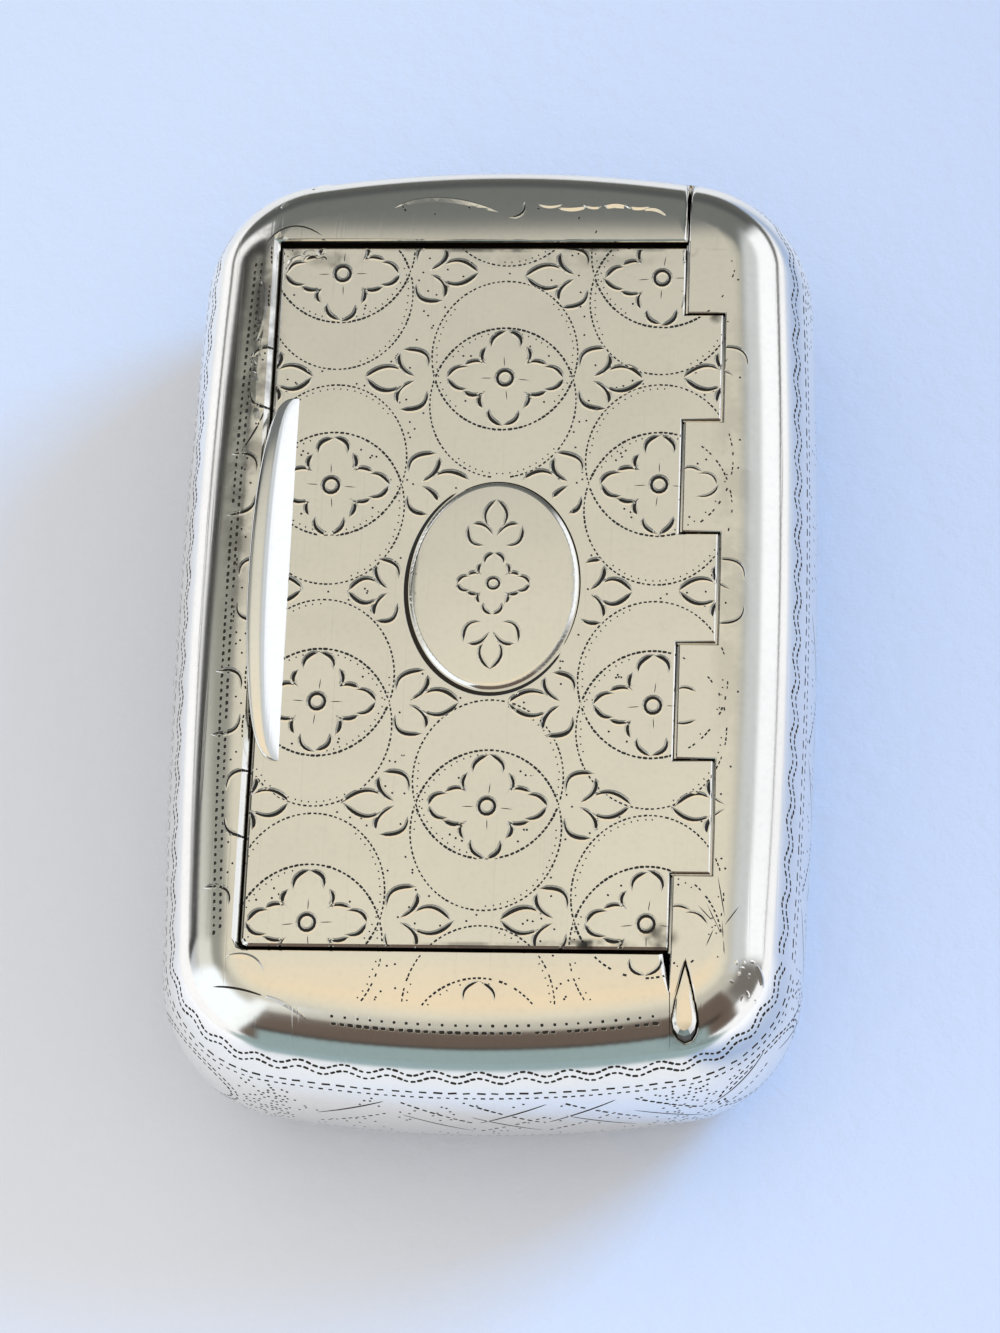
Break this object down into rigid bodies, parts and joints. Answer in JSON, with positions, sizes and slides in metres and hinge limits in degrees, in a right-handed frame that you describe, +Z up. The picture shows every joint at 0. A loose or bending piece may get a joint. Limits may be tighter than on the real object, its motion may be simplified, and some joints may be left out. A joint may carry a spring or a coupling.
{
  "type": "snuff box",
  "caption": "Cushion-shaped engraved silver pocket box, lid inset flush in the top frame on a concealed side hinge, bow thumbpiece, oval plaque.",
  "frame": {"origin": "centre of the underside of the base", "axes": "+Z up out of the lid, +X towards the hinge side, +Y along the hinge towards the far end"},
  "size_m": [0.044, 0.07, 0.0192],
  "materials": {
    "polished_silver": "polished, softened by wear",
    "engraved_silver": "satin from wear, engraved, dark tarnish in the cuts",
    "gilt": "worn gilding, satin",
    "hinge_silver": "filed and burnished"
  },
  "bodies": {
    "case": {"side_band": "polished_silver", "base_plate": "polished_silver", "frame_front_strip": "engraved_silver", "frame_far_strip": "engraved_silver", "frame_near_strip": "engraved_silver", "frame_hinge_rail": "engraved_silver", "ledge_front": "gilt", "ledge_far": "gilt", "ledge_near": "gilt", "case_hinge_bearer": "gilt", "case_knuckle_1": "hinge_silver", "case_knuckle_2": "hinge_silver", "case_knuckle_3": "hinge_silver", "case_knuckle_4": "hinge_silver", "hinge_pin": "hinge_silver", "hinge_plug": "engraved_silver"},
    "lid": {"lid_plate": "engraved_silver", "lid_flange_front": "gilt", "lid_flange_far": "gilt", "lid_flange_near": "gilt", "lid_hinge_bearer": "gilt", "lid_knuckle_1": "hinge_silver", "lid_knuckle_2": "hinge_silver", "lid_knuckle_3": "hinge_silver", "thumbpiece": "polished_silver", "cartouche_plaque": "engraved_silver"}
  },
  "joints": [
    {"name": "lid_hinge", "type": "hinge", "parent": "case", "child": "lid", "pos_m": [0.0142, 0, 0.01717], "axis": [0, 1, 0], "range_deg": [0, 105]}
  ]
}
